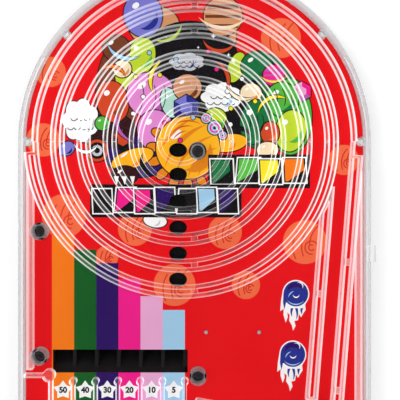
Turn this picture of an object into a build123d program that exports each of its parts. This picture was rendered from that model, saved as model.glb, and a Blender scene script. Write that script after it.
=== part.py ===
"""Handheld ball game: a flat clear case with a spiral track, six pockets and a spring plunger.

The game lies on its back. Z points up out of the playfield, Y runs up the playfield to the arch
and X runs to the right. The origin is on the rear face, under the middle of the case.
All sizes are in millimetres and all angles in degrees.
"""

from math import asin, atan, cos, degrees, radians, sin, sqrt, tan
import os

from build123d import *

# Case
case_half_width = 68.6
case_bottom_y = -110.6
arch_centre_y = 42.0
case_wall = 1.6
case_corner_radius = 10.0
case_edge_radius = 0.7
flange_width = 1.4
flange_thickness = 1.2
flange_top_angle = 29.0
insert_gap = 0.2

# Layers, from the rear face up
floor_thickness = 1.8
tray_thickness = 1.2
chute_height = 5.8
deck_thickness = 1.2
card_thickness = 0.4
track_height = 5.4
cover_thickness = 1.8
shell_split_z = 9.0

# Side details of the case
lug_length = 6.7
lug_proud = 1.6
lug_height = 4.0
lug_y = -2.2
pry_notch_width = 1.0
pry_notch_ys = (8.7, 1.1)

# Screws, their recessed cover bosses and the rear pillars
boss_radius = 3.4
boss_recess_radius = 2.7
boss_floor = 1.4
boss_gap = 0.1
pillar_radius = 2.7
pillar_gap = 0.3
screw_head_radius = 2.3
screw_head_height = 1.6
screw_head_depth = 8.0
screw_shank_radius = 1.1
screw_hole_gap = 0.15
screw_thread_gap = 0.02
screw_slot_width = 0.7
screw_slot_depth = 0.8
screw_slot_length = 2.8
left_boss_inset = 6.1
upper_boss_gap = 0.88
lower_boss_y = -42.5
bottom_boss_rise = 7.1
bottom_boss_x = 34.0
field_boss = (1.4, -50.4)
centre_boss = (1.3, 38.4)

# Pegs that line up the two shells round the arch
peg_inset = 1.2
peg_post_radius = 1.6
peg_column_radius = 1.75
peg_pin_radius = 1.0
peg_pin_length = 3.4
peg_gap = 0.1
peg_angles = (0.0, 40.0, 140.0, 180.0)

# Balls
ball_radius = 2.25
ball_rest_gap = 0.2
ball_float = 0.05

# Spiral track: double-skinned half turns about two centres
guide_to_case = 3.25
guide_thickness = 1.8
track_wall = 5.1
track_skin = 1.6
track_to_case = 0.15
innermost_radius = 12.8
turns = 5
web_width = 2.6
web_height = 1.6
end_cap = 1.0
first_turn_skin_start = 184.0
eye_wall_radius = 8.6

# Drop holes and exit slot
hole_length = 7.1
hole_width = 5.5
hole_offset = 1.35
hole_shift = 0.5
eye_hole_drop = 3.2
slot_top_y = -40.3
slot_bottom_y = -49.4
slot_end_gap = 0.4

# Pockets
pocket_count = 6
pocket_pitch = 8.783
pocket_inset = 10.5
divider_thickness = 1.4
divider_top_y = -52.4
divider_bulb_radius = 1.4
corner_bulb_radius = 2.4
corner_bulb_rise = 2.4
pocket_floor_rise = 14.6
pocket_floor_thickness = 2.0

# Chutes
chute_rib_thickness = 1.4
chute_slope = 20.0
chute_spine_offset = 3.6
chute_rib_lift = 0.9
chute_head_room = 5.5
tray_rim = 1.2
rib_clearance = 0.5

# Launch lane and plunger, laid out along a tilted axis
lane_tilt = 4.54
lane_width = 5.4
lane_corner_gap = 0.15
lane_inner_wall_width = 4.6
lane_outer_wall_width = 4.8
lane_skin = 1.4
lane_inner_top_y = 24.0
lane_outer_skin_top_y = 37.0
lane_inner_webs = (-18.5,)
lane_outer_webs = (-5.2, -56.0)
lane_mouth_top_y = -60.3
lane_mouth_height = 7.7
housing_wall = 2.0
housing_end_rise = 4.0
guide_start = (1.4, -60.2)
guide_rib = 2.0

plunger_tip_drop = 6.2
plunger_tip_radius = 2.1
plunger_tip_length = 5.0
rod_radius = 1.3
rod_grip = 3.0
washer_radius = 2.2
washer_thickness = 0.8
spring_radius = 1.95
spring_wire_radius = 0.25
spring_turns = 16
bushing_flange_radius = 2.6
bushing_flange = 1.2
bushing_radius = 2.2
bushing_proud = 2.0
bushing_wall_gap = 0.45
rod_clearance = 0.05
press_clearance = 0.02
collar_radius = 2.6
collar_length = 1.5
collar_gap = 0.3
knob_radius = 6.0
knob_neck_radius = 3.6
knob_length = 14.0
knob_neck = 4.0
knob_grip = 9.0

# Side ribs and card pins
side_rib_inset = 1.2
side_rib_width = 2.4
left_rib_bottom_y = -47.6
right_rib_bottom_rise = 7.0
side_rib_top_y = 34.0
track_gap = 0.1
card_pin_radius = 0.7
card_pin_proud = 0.6
card_pin_gap = 0.05
card_pin_xs = (4.6, 25.6)
card_pin_drop = 13.7

# Levels that follow from the layers
tray_top = floor_thickness + tray_thickness
deck_bottom = tray_top + chute_height
deck_top = deck_bottom + deck_thickness
card_top = deck_top + card_thickness
cover_bottom = card_top + track_height
cover_top = cover_bottom + cover_thickness
screw_seat_z = cover_top - screw_head_depth - screw_head_height
boss_bottom = screw_seat_z - boss_floor

# Places that follow from the case
inner_half_width = case_half_width - case_wall
inner_bottom_y = case_bottom_y + case_wall
guide_radius = inner_half_width - guide_to_case - guide_thickness / 2
guide_inner_radius = guide_radius - guide_thickness / 2
spiral_reach = inner_half_width - track_to_case - track_wall / 2
pitch = (spiral_reach - innermost_radius) / turns
first_radius = innermost_radius + (turns - 1) * pitch
lower_centre_x = -pitch / 2
hole_x = lower_centre_x - hole_offset
chute_spine_x = hole_x + chute_spine_offset
first_lower_outer = first_radius + pitch / 2 + track_wall / 2
spiral_bottom_y = arch_centre_y - first_lower_outer
card_pin_spots = [(x, spiral_bottom_y - card_pin_drop) for x in card_pin_xs]
left_boss_x = -(inner_half_width - left_boss_inset)
upper_boss_reach = first_lower_outer + boss_radius + upper_boss_gap
upper_boss_y = arch_centre_y - sqrt(upper_boss_reach**2 - (left_boss_x - lower_centre_x) ** 2)
screw_spots = (
    (left_boss_x, upper_boss_y),
    (left_boss_x, lower_boss_y),
    (left_boss_x, case_bottom_y + bottom_boss_rise),
    field_boss,
    centre_boss,
    (bottom_boss_x, case_bottom_y + bottom_boss_rise),
)
pocket_left_x = -(inner_half_width - pocket_inset)
divider_xs = [pocket_left_x + i * pocket_pitch for i in range(pocket_count + 1)]
pocket_floor_y = case_bottom_y + pocket_floor_rise

# The lane's own frame: local Y runs up the lane, local X across it
lane_half = lane_width / 2
lane_top_x = guide_inner_radius - lane_half - lane_corner_gap
lane_axis_z = (card_top + cover_bottom) / 2
lane_frame = Pos(lane_top_x, arch_centre_y) * Rot(0, 0, -lane_tilt)


def lane_s(y):
    """Distance along the lane's axis of the point on it at this Y."""
    return (y - arch_centre_y) / cos(radians(lane_tilt))


tip_front_s = lane_s(lane_mouth_top_y) - plunger_tip_drop
washer_front_s = tip_front_s - plunger_tip_length
spring_front_s = washer_front_s - washer_thickness
flange_rear_s = lane_s(inner_bottom_y) + bushing_wall_gap
flange_front_s = flange_rear_s + bushing_flange
bushing_end_s = lane_s(case_bottom_y) - bushing_proud
collar_front_s = bushing_end_s - collar_gap
knob_front_s = collar_front_s - collar_length


def slab(face, low, high):
    """A flat shape given thickness from one level to another."""
    return Pos(0, 0, low) * extrude(face, amount=high - low)


def post(spot, radius, low, high):
    """An upright round post."""
    return slab(Pos(*spot) * Circle(radius), low, high)


def shield(half_width, bottom_y, corner_radius):
    """The case's outline: straight sides, a half-round arch and rounded bottom corners."""
    height = arch_centre_y - bottom_y
    body = Pos(0, arch_centre_y - height / 2) * Rectangle(2 * half_width, height)
    body = fillet(body.vertices().group_by(Axis.Y)[0], corner_radius)
    return body + Pos(0, arch_centre_y) * Circle(half_width)


def case_outline(offset):
    """The case's outline, moved out by offset or in by a negative one."""
    return shield(
        case_half_width + offset, case_bottom_y - offset, case_corner_radius + offset
    )


def insert_outline():
    """The outline of what drops into the case."""
    return case_outline(-case_wall - insert_gap)


def sector(centre_x, inner_radius, outer_radius, start, end):
    """A piece of a flat ring about a centre on the arch's springing line."""
    centre = (centre_x, arch_centre_y)
    outer = CenterArc(centre, outer_radius, start, end - start)
    inner = CenterArc(centre, inner_radius, start, end - start)
    sides = [Line(outer @ 0, inner @ 0), Line(outer @ 1, inner @ 1)]
    return make_face([outer, inner, *sides])


def box_between(x0, x1, y0, y1):
    """A flat rectangle between two X and two Y values."""
    return Pos((x0 + x1) / 2, (y0 + y1) / 2) * Rectangle(abs(x1 - x0), abs(y1 - y0))


def bar(start, end, width):
    """A flat bar with square ends from one point to another."""
    a, b = Vector(*start), Vector(*end)
    middle = (a + b) / 2
    angle = degrees(atan((b.Y - a.Y) / (b.X - a.X))) if b.X != a.X else 90
    return Pos(middle.X, middle.Y) * Rot(0, 0, angle) * Rectangle((b - a).length, width)


def bent_bar(points, width):
    """Bars along a line of points, with round corners between them."""
    shape = bar(points[0], points[1], width)
    for i in range(1, len(points) - 1):
        shape += Pos(*points[i]) * Circle(width / 2)
        shape += bar(points[i], points[i + 1], width)
    return shape


def flange():
    """The lip along both sides and the bottom, where the two shells meet."""
    top_y = arch_centre_y + (case_half_width + flange_width) * sin(radians(flange_top_angle))
    far = case_half_width + 2 * flange_width
    ring = case_outline(flange_width) - case_outline(-case_wall / 2)
    ring -= box_between(-far, far, top_y, arch_centre_y + far)
    for y in pry_notch_ys:
        low, high = y - pry_notch_width / 2, y + pry_notch_width / 2
        edge = case_half_width + flange_width / 2
        ring -= box_between(-far, -edge, low, high)
    return ring


def peg_spots():
    """The pegs' centres, on a circle just inside the arch."""
    radius = inner_half_width - peg_inset
    return [
        (radius * cos(radians(a)), arch_centre_y + radius * sin(radians(a)))
        for a in peg_angles
    ]


def rear_shell():
    shell = slab(case_outline(0), 0, shell_split_z)
    shell = fillet(shell.edges().group_by(Axis.Z)[0], case_edge_radius)
    shell -= slab(case_outline(-case_wall), floor_thickness, shell_split_z)
    shell += slab(flange(), shell_split_z - flange_thickness, shell_split_z)
    for spot in peg_spots():
        shell += post(spot, peg_post_radius, floor_thickness, shell_split_z)
        shell += post(spot, peg_post_radius, shell_split_z, card_top) - slab(
            case_outline(0) - case_outline(-case_wall - peg_gap),
            shell_split_z,
            card_top,
        )
        shell += post(spot, peg_pin_radius, card_top, card_top + peg_pin_length)
    for spot in screw_spots:
        shell += post(spot, pillar_radius, floor_thickness, boss_bottom)
        shell -= post(
            spot, screw_shank_radius + screw_thread_gap, floor_thickness, boss_bottom
        )
    return shell


def front_cover():
    cover = slab(case_outline(0), shell_split_z, cover_top)
    cover = fillet(cover.edges().group_by(Axis.Z)[-1], case_edge_radius)
    cover -= slab(case_outline(-case_wall), shell_split_z, cover_bottom)
    cover += slab(flange(), shell_split_z, shell_split_z + flange_thickness)
    for spot in peg_spots():
        column = post(spot, peg_column_radius, card_top + insert_gap, cover_bottom)
        column -= post(
            spot, peg_pin_radius + peg_gap, card_top, card_top + peg_pin_length + peg_gap
        )
        cover += column
        cover -= post(
            spot, peg_post_radius + peg_gap, shell_split_z, card_top + insert_gap
        )
    for spot in screw_spots:
        cover += post(spot, boss_radius, boss_bottom, cover_bottom)
        cover -= post(spot, boss_recess_radius, screw_seat_z, cover_top)
        cover -= post(
            spot, screw_shank_radius + screw_hole_gap, boss_bottom, screw_seat_z
        )
    lug_x = case_half_width + flange_width + lug_proud / 2
    lug = Pos(lug_x, lug_y, shell_split_z + lug_height / 2)
    cover += lug * Box(lug_proud, lug_length, lug_height)
    cover += Pos(case_half_width + flange_width / 2, lug_y, shell_split_z + lug_height / 2) * Box(
        flange_width, lug_length, lug_height
    )
    return cover - bushing_hole()


def along_lane(s, z=lane_axis_z):
    """The place of a point on the plunger's axis, with local Z turned down the lane."""
    return lane_frame * Pos(0, s, z) * Rot(90, 0, 0)


def lane_round(radius, front, rear):
    """A round bar on the plunger's axis from its front end to its rear end."""
    length = front - rear
    return along_lane((front + rear) / 2) * Cylinder(radius, length)


def bushing_hole():
    """The hole through the case's bottom wall for the plunger's bushing."""
    front = lane_s(inner_bottom_y) + case_wall
    rear = lane_s(case_bottom_y) - case_wall
    return lane_round(bushing_radius + press_clearance, front, rear)


def tall_openings(face):
    """Cuts the boss, peg and card pin holes that the deck and the card share."""
    for spot in screw_spots:
        face -= Pos(*spot) * Circle(boss_radius + boss_gap)
    for spot in peg_spots():
        face -= Pos(*spot) * Circle(peg_column_radius + peg_gap)
    for spot in card_pin_spots:
        face -= Pos(*spot) * Circle(card_pin_radius + card_pin_gap)
    return face


def hole_ys():
    """The drop holes' Y places, from the outermost turn to the eye of the spiral.

    Each lies towards its channel's outer wall, where the balls roll.
    """
    lowers = [first_radius + pitch / 2 - i * pitch for i in range(turns)]
    centres = [(a + b) / 2 for a, b in zip(lowers, lowers[1:])]
    centres.append((lowers[-1] - track_wall / 2 + eye_wall_radius + track_skin / 2) / 2)
    return [*(arch_centre_y - r - hole_shift for r in centres), arch_centre_y - eye_hole_drop]


def playfield_outline():
    """The deck and the card: the insert's outline with every hole through it."""
    face = tall_openings(insert_outline())
    for y in hole_ys():
        face -= Pos(hole_x, y) * Ellipse(hole_length / 2, hole_width / 2)
    left = divider_xs[0] + slot_end_gap
    right = divider_xs[-1] + divider_thickness / 2 + slot_end_gap
    return face - box_between(left, right, slot_bottom_y, slot_top_y)


def exit_ramp():
    """The wedge that brings a ball from the chutes back up to the playfield."""
    left = divider_xs[0] + slot_end_gap
    right = divider_xs[-1]
    rise = card_top - tray_top - ball_float
    profile = Plane.YZ * Polyline(
        (slot_top_y, tray_top),
        (slot_bottom_y + track_gap, tray_top),
        (slot_bottom_y + track_gap, tray_top + rise),
        close=True,
    )
    return Pos(left, 0, 0) * extrude(make_face(profile), right - left, dir=(1, 0, 0))


def chute_tray():
    floor = insert_outline()
    for spot in peg_spots():
        floor -= Pos(*spot) * Circle(peg_post_radius + pillar_gap)
    rim = floor - case_outline(-case_wall - insert_gap - tray_rim)
    for spot in screw_spots:
        floor -= Pos(*spot) * Circle(pillar_radius + pillar_gap)
        rim -= Pos(*spot) * Circle(boss_radius + boss_gap)
    tray = slab(floor, floor_thickness, tray_top)
    tray += slab(rim, tray_top, deck_bottom)
    return tray + exit_ramp()


def chute_rib_lines():
    """Each rib's line: from the spine, sloping left, then straight down to the exit slot."""
    ys = hole_ys()
    end_y = slot_bottom_y + divider_bulb_radius + rib_clearance
    turn_y = ys[0] - chute_head_room
    lines = [
        [
            (chute_spine_x, ys[-1] + chute_head_room),
            (chute_spine_x, turn_y),
            (divider_xs[-1], turn_y - abs(chute_spine_x - divider_xs[-1])),
            (divider_xs[-1], end_y),
        ]
    ]
    start_x = chute_spine_x - chute_rib_thickness / 2
    above = [*ys[1:], ys[-1] + 2 * (chute_head_room - chute_rib_lift)]
    for i, (low, high) in enumerate(zip(ys, above)):
        start_y = (low + high) / 2 + chute_rib_lift
        corner_x = divider_xs[-2 - i]
        corner_y = start_y - (start_x - corner_x) * tan(radians(chute_slope))
        lines.append([(start_x, start_y), (corner_x, corner_y), (corner_x, end_y)])
    return lines


def chute_ribs():
    spine, *others = [bent_bar(line, chute_rib_thickness) for line in chute_rib_lines()]
    bosses = Sketch() + [
        Pos(*spot) * Circle(boss_radius + boss_gap) for spot in screw_spots
    ]
    faces = [spine - bosses] + [face - spine - bosses for face in others]
    ramp = exit_ramp()
    return [slab(face, tray_top, deck_bottom) - ramp for face in faces]


def wall(face):
    """A clear wall from the card up to the cover."""
    return slab(face, card_top, cover_bottom)


def web(face):
    """A low bridge on the card between a wall's two skins."""
    return slab(face, card_top, card_top + web_height)


def double_arc(centre_x, radius, start, end, web_angle):
    """A double-skinned half turn: two skins with a small bridge between them."""
    low, high = radius - track_wall / 2, radius + track_wall / 2
    half = degrees(web_width / 2 / radius)
    skins = sector(centre_x, low, low + track_skin, start, end)
    skins += sector(centre_x, high - track_skin, high, start, end)
    return wall(skins) + web(sector(centre_x, low, high, web_angle - half, web_angle + half))


def arc_cap(centre_x, radius, start, side):
    """The closed end of a double arc, on the side of its end that the arc runs to."""
    low, high = radius - track_wall / 2, radius + track_wall / 2
    end = start + side * degrees(end_cap / low)
    return wall(sector(centre_x, low, high, min(start, end), max(start, end)))


def upper_turn(number):
    """A half turn over the top of the spiral, counted from the outside."""
    radius = first_radius - number * pitch
    turn = double_arc(0, radius, 0, 180, 90)
    return turn + arc_cap(0, radius, 180, -1) if number == turns - 1 else turn


def lower_turn(number):
    """A half turn under the spiral, which joins two upper ones half a pitch apart."""
    radius = first_radius + pitch / 2 - number * pitch
    web_angle = 270 + degrees(asin(-lower_centre_x / radius))
    start = first_turn_skin_start if number == 0 else 180
    turn = double_arc(lower_centre_x, radius, start, 360, web_angle)
    if number == 0:
        low = radius - track_wall / 2
        turn += arc_cap(lower_centre_x, radius, start, 1)
        turn += wall(sector(lower_centre_x, low, low + track_skin, 180, start + 1))
    return turn


def eye_wall():
    """The single-skinned end of the spiral, which curls round the last hole to the boss."""
    low = eye_wall_radius - track_skin / 2
    face = sector(lower_centre_x, low, low + track_skin, 180, 355)
    return face - Pos(*centre_boss) * Circle(boss_radius + track_gap)


def spiral_track():
    uppers = [upper_turn(i) for i in range(turns)]
    lowers = [lower_turn(i) for i in range(turns)]
    return [*uppers, *lowers, wall(largest_piece(eye_wall()))]


def largest_piece(face):
    """The largest of the pieces that a cut left."""
    return max(face.faces(), key=lambda piece: piece.area)


def arch_guide():
    low, high = guide_radius - guide_thickness / 2, guide_radius + guide_thickness / 2
    return wall(sector(0, low, high, 0, 180))


def lane_box(n0, n1, low_y, high_y):
    """A flat rectangle in the lane's frame, between the points of its axis at two Ys."""
    return lane_frame * box_between(n0, n1, lane_s(low_y), lane_s(high_y))


def lane_webs(n0, n1, ys):
    """The bridges between a lane wall's two skins."""
    return [web(lane_box(n0, n1, y - web_width / 2, y + web_width / 2)) for y in ys]


def lane_inner_wall():
    near, far = -lane_half, -lane_half - lane_inner_wall_width
    low, high = lane_mouth_top_y, lane_inner_top_y
    face = lane_box(near, near - lane_skin, low, high)
    face += lane_box(far, far + lane_skin, low, high)
    face += lane_box(near, far, low, low + end_cap)
    turn = Pos(lower_centre_x, arch_centre_y) * Circle(first_lower_outer + track_gap)
    cap = Pos(lower_centre_x, arch_centre_y) * Circle(first_lower_outer + track_gap + end_cap)
    face += (cap - turn) & lane_box(near, far, low, high)
    return wall(face - turn) + lane_webs(near, far, lane_inner_webs)


def lane_outer_wall():
    near, far = lane_half, lane_half + lane_outer_wall_width
    low = inner_bottom_y + housing_end_rise
    face = lane_box(near, near + lane_skin, low, arch_centre_y + lane_width)
    face -= box_between(0, inner_half_width, arch_centre_y, 2 * arch_centre_y)
    face += lane_box(far, far - lane_skin, low, lane_outer_skin_top_y)
    face += lane_box(near, far, low, low + end_cap)
    face += lane_box(near, far, lane_outer_skin_top_y - end_cap, lane_outer_skin_top_y)
    return wall(face) + lane_webs(near, far, lane_outer_webs)


def mouth_bottom_y():
    """Where the lane wall starts again, below the gap that lets the balls in."""
    return lane_mouth_top_y - lane_mouth_height


def plunger_housing():
    low = inner_bottom_y + housing_end_rise
    face = lane_box(-lane_half, -lane_half - housing_wall, low, mouth_bottom_y())
    return wall(face)


def return_guide():
    """The sloping rib that leads loose balls across to the lane's mouth."""
    corner = (lane_frame * Pos(-lane_half - housing_wall, lane_s(mouth_bottom_y()))).position
    end = (corner.X - track_gap, corner.Y - guide_rib / 2)
    face = bar(guide_start, end, guide_rib) + Pos(*guide_start) * Circle(guide_rib / 2)
    return wall(
        face - lane_box(-lane_half - housing_wall - track_gap, lane_half, inner_bottom_y, 0)
    )


def pocket_dividers():
    """Seven dividers with round heads, and the rib from the left one to the case's wall."""
    faces = []
    for x in divider_xs[1:]:
        face = bar((x, divider_top_y), (x, pocket_floor_y), divider_thickness)
        faces.append(face + Pos(x, divider_top_y) * Circle(divider_bulb_radius))
    corner = (divider_xs[0] - divider_thickness / 2, divider_top_y + corner_bulb_rise)
    left = bar(
        (divider_xs[0], corner[1]), (divider_xs[0], pocket_floor_y), divider_thickness
    )
    left += Pos(*corner) * Circle(corner_bulb_radius)
    wall_end = (-inner_half_width + insert_gap, corner[1])
    left += bar(wall_end, corner, divider_thickness)
    return [wall(face) for face in [left, *faces]]


def pocket_floor():
    left = divider_xs[0] - divider_thickness / 2
    right = divider_xs[-1] + divider_thickness / 2
    face = box_between(left, right, pocket_floor_y - pocket_floor_thickness, pocket_floor_y)
    return wall(face)


def left_side_rib():
    outer = -inner_half_width + side_rib_inset
    face = box_between(outer, outer + side_rib_width, left_rib_bottom_y, side_rib_top_y)
    face -= Pos(lower_centre_x, arch_centre_y) * Circle(first_lower_outer + track_gap)
    for spot in screw_spots:
        face -= Pos(*spot) * Circle(boss_radius + boss_gap)
    return wall(face)


def right_side_rib():
    outer = inner_half_width - side_rib_inset
    low = inner_bottom_y + right_rib_bottom_rise
    face = box_between(outer - side_rib_width, outer, low, side_rib_top_y)
    edge = lane_half + lane_outer_wall_width + track_gap
    face -= lane_box(-lane_half, edge, case_bottom_y, arch_centre_y)
    return wall(face)


def case_screws():
    screws = []
    for spot in screw_spots:
        screw = post(spot, screw_head_radius, screw_seat_z, screw_seat_z + screw_head_height)
        screw = fillet(screw.edges().group_by(Axis.Z)[-1], screw_slot_depth / 2)
        shank_end = floor_thickness + screw_head_height / 2
        screw += post(spot, screw_shank_radius, shank_end, screw_seat_z)
        slot = Rectangle(screw_slot_length, screw_slot_width)
        slot += Rectangle(screw_slot_width, screw_slot_length)
        top = screw_seat_z + screw_head_height
        screw -= slab(Pos(*spot) * slot, top - screw_slot_depth, top)
        screws.append(screw)
    return screws


def card_pins():
    return [
        post(spot, card_pin_radius, deck_bottom, card_top + card_pin_proud)
        for spot in card_pin_spots
    ]


def plunger_rod():
    return lane_round(rod_radius, tip_front_s - rod_grip, knob_front_s - knob_grip)


def plunger_tip():
    tip = lane_round(plunger_tip_radius, tip_front_s, washer_front_s)
    tip = fillet(tip.edges().filter_by(GeomType.CIRCLE), plunger_tip_radius / 6)
    hole = lane_round(rod_radius + press_clearance, tip_front_s - rod_grip, washer_front_s)
    return tip - hole


def on_rod(radius, front, rear):
    """A round piece pressed onto the rod."""
    return lane_round(radius, front, rear) - lane_round(
        rod_radius + press_clearance, front, rear
    )


def spring_washer():
    return on_rod(washer_radius, washer_front_s, spring_front_s)


def stop_collar():
    return on_rod(collar_radius, collar_front_s, knob_front_s)


def plunger_bushing():
    bushing = lane_round(bushing_flange_radius, flange_front_s, flange_rear_s)
    bushing += lane_round(bushing_radius, flange_rear_s, bushing_end_s)
    return bushing - lane_round(rod_radius + rod_clearance, flange_front_s, bushing_end_s)


def plunger_spring():
    wire_gap = spring_wire_radius + rod_clearance
    length = spring_front_s - flange_front_s - 2 * wire_gap
    path = Helix(length / spring_turns, length, spring_radius)
    wire = sweep(Plane(path @ 0, z_dir=path % 0) * Circle(spring_wire_radius), path)
    return along_lane(spring_front_s - wire_gap) * wire


def plunger_knob():
    """A round knob with a neck, turned about the rod."""
    profile = Polyline(
        (0, 0),
        (knob_neck_radius, 0),
        (knob_neck_radius, knob_neck / 2),
        (knob_radius, knob_neck),
        (knob_radius, knob_length),
        (0, knob_length),
        close=True,
    )
    knob = revolve(Plane.XZ * make_face(profile), Axis.Z)
    ends = knob.edges().filter_by(GeomType.CIRCLE).group_by(Axis.Z)
    knob = fillet(ends[-1] + ends[-2], knob_radius / 5)
    knob -= Pos(0, 0, knob_grip / 2) * Cylinder(rod_radius + press_clearance, knob_grip)
    return along_lane(knob_front_s) * knob


def ball(x, y):
    """A steel ball on the card."""
    return Pos(x, y, card_top + ball_radius + ball_float) * Sphere(ball_radius)


def lane_ball():
    spot = lane_frame * Pos(0, tip_front_s + ball_rest_gap + ball_radius)
    return ball(spot.position.X, spot.position.Y)


def pocket_ball(pocket):
    """A ball at the bottom of a pocket, counted from the left."""
    x = (divider_xs[pocket] + divider_xs[pocket + 1]) / 2
    return ball(x, pocket_floor_y + ball_rest_gap + ball_radius)


def save(name, shape):
    """Writes one node as a STEP file; a list is a group of separate solids."""
    solids = shape if isinstance(shape, list) else [shape]
    solids = [solid for item in solids for solid in item.solids()]
    whole = solids[0] if len(solids) == 1 else Compound(solids)
    whole.label = name
    export_step(whole, f"parts/{name}.step")


def main():
    os.makedirs("parts", exist_ok=True)
    pieces = (
        rear_shell,
        front_cover,
        chute_tray,
        chute_ribs,
        spiral_track,
        arch_guide,
        left_side_rib,
        right_side_rib,
        lane_inner_wall,
        lane_outer_wall,
        plunger_housing,
        return_guide,
        pocket_dividers,
        pocket_floor,
        case_screws,
        card_pins,
        plunger_rod,
        plunger_tip,
        spring_washer,
        stop_collar,
        plunger_bushing,
        plunger_spring,
        plunger_knob,
    )
    for piece in pieces:
        save(piece.__name__, piece())
    save("playfield_deck", slab(playfield_outline(), deck_bottom, deck_top))
    save("printed_card", slab(playfield_outline(), deck_top, card_top))
    save("ball_1", lane_ball())
    for number, pocket in enumerate((0, 2, 3, 5), start=2):
        save(f"ball_{number}", pocket_ball(pocket))


main()
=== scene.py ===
"""Finishes and printed artwork for a clear-cased handheld ball game.

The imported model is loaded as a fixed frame. Clear mouldings are copied from it with rounded
edges, the card gets one flat printed sheet, and every other part gets its own finish.
"""

from dataclasses import dataclass, field
from enum import Enum
import logging
import math
from typing import TypeAlias

import bmesh
import bpy
from mathutils import Matrix, Vector
from mathutils.geometry import delaunay_2d_cdt


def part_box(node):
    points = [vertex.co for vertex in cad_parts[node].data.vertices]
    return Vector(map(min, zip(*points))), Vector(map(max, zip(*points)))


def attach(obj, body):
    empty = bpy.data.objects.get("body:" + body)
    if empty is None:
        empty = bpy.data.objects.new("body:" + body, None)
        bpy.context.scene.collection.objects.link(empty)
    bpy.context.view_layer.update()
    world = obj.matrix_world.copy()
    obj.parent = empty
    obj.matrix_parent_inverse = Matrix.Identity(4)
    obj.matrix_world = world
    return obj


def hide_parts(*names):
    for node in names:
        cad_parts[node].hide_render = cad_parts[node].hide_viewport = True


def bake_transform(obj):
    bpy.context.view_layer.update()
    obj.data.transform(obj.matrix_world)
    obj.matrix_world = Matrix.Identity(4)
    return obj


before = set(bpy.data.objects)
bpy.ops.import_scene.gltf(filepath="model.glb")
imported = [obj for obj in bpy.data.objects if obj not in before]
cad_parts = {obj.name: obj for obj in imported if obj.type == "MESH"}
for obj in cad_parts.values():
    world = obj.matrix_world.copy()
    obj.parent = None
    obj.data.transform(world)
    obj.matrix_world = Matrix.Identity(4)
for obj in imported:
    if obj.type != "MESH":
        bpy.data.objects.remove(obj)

log = logging.getLogger("ball_game")
MM = 0.001
LANE_TILT = 4.54
SAME_POINT = 1e-6
SAME_CORNER = 2e-6
OUTLINE_WIDTH = 0.45
Point = tuple[float, float]
Outline = list[Point]
Colour = tuple[float, float, float]
Triple = tuple[float, float, float]
Number: TypeAlias = "Value | float"


def linear(red: int, green: int, blue: int) -> Colour:
    """Turns a display colour, 0 to 255, into the linear one that shaders use.

    Args:
        red, green, blue: The display colour's channels.

    Returns:
        The linear colour.
    """

    def channel(value: int) -> float:
        """One channel, by the sRGB curve: a straight toe and then a power."""
        share = value / 255
        return share / 12.92 if share <= 0.04045 else ((share + 0.055) / 1.055) ** 2.4

    return channel(red), channel(green), channel(blue)


class Ink(Enum):
    """The printed colours of the card."""

    RED = linear(229, 10, 20)
    BLACK = linear(17, 13, 17)
    WHITE = linear(247, 247, 247)
    GREY = linear(196, 198, 206)
    ORANGE = linear(245, 122, 22)
    GREEN = linear(18, 92, 34)
    NAVY = linear(44, 14, 96)
    MAGENTA = linear(238, 28, 138)
    PINK = linear(231, 168, 208)
    SKY = linear(160, 204, 232)
    DISC = linear(238, 108, 68)
    DISC_LINE = linear(206, 40, 30)
    ROYAL = linear(38, 48, 142)
    VIOLET = linear(122, 122, 206)
    SUN = linear(252, 178, 28)
    AMBER = linear(226, 132, 20)
    LIME = linear(190, 214, 48)
    LEAF = linear(84, 178, 64)
    FOREST = linear(20, 112, 62)
    BROWN = linear(116, 60, 34)
    TAN = linear(214, 150, 104)
    ROSE = linear(224, 138, 206)
    PLUM = linear(176, 92, 170)
    BRICK = linear(206, 70, 34)
    MINT = linear(178, 220, 204)
    CREAM = linear(244, 222, 186)
    YELLOW = linear(246, 226, 40)
    COAL = linear(52, 16, 22)


class Value:
    """A shader number or colour socket that Python's operators build nodes from."""

    def __init__(self, tree: "ShaderTree", socket: bpy.types.NodeSocket) -> None:
        """Keeps the tree and the output socket."""
        self.tree = tree
        self.socket = socket

    def _math(self, operation: str, *values: "Number") -> "Value":
        """Adds one Math node."""
        return self.tree.node("ShaderNodeMath", {"operation": operation}, list(values))

    def __add__(self, other: "Number") -> "Value":
        """self + other."""
        return self._math("ADD", self, other)

    __radd__ = __add__

    def __mul__(self, other: "Number") -> "Value":
        """self * other."""
        return self._math("MULTIPLY", self, other)

    __rmul__ = __mul__

    def __pow__(self, other: float) -> "Value":
        """self to a power."""
        return self._math("POWER", self, other)

    def absolute(self) -> "Value":
        """The value without its sign."""
        return self._math("ABSOLUTE", self)

    def clamped(self) -> "Value":
        """The value kept between 0 and 1."""
        settings = {"operation": "ADD", "use_clamp": True}
        return self.tree.node("ShaderNodeMath", settings, [self, 0.0])


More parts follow.
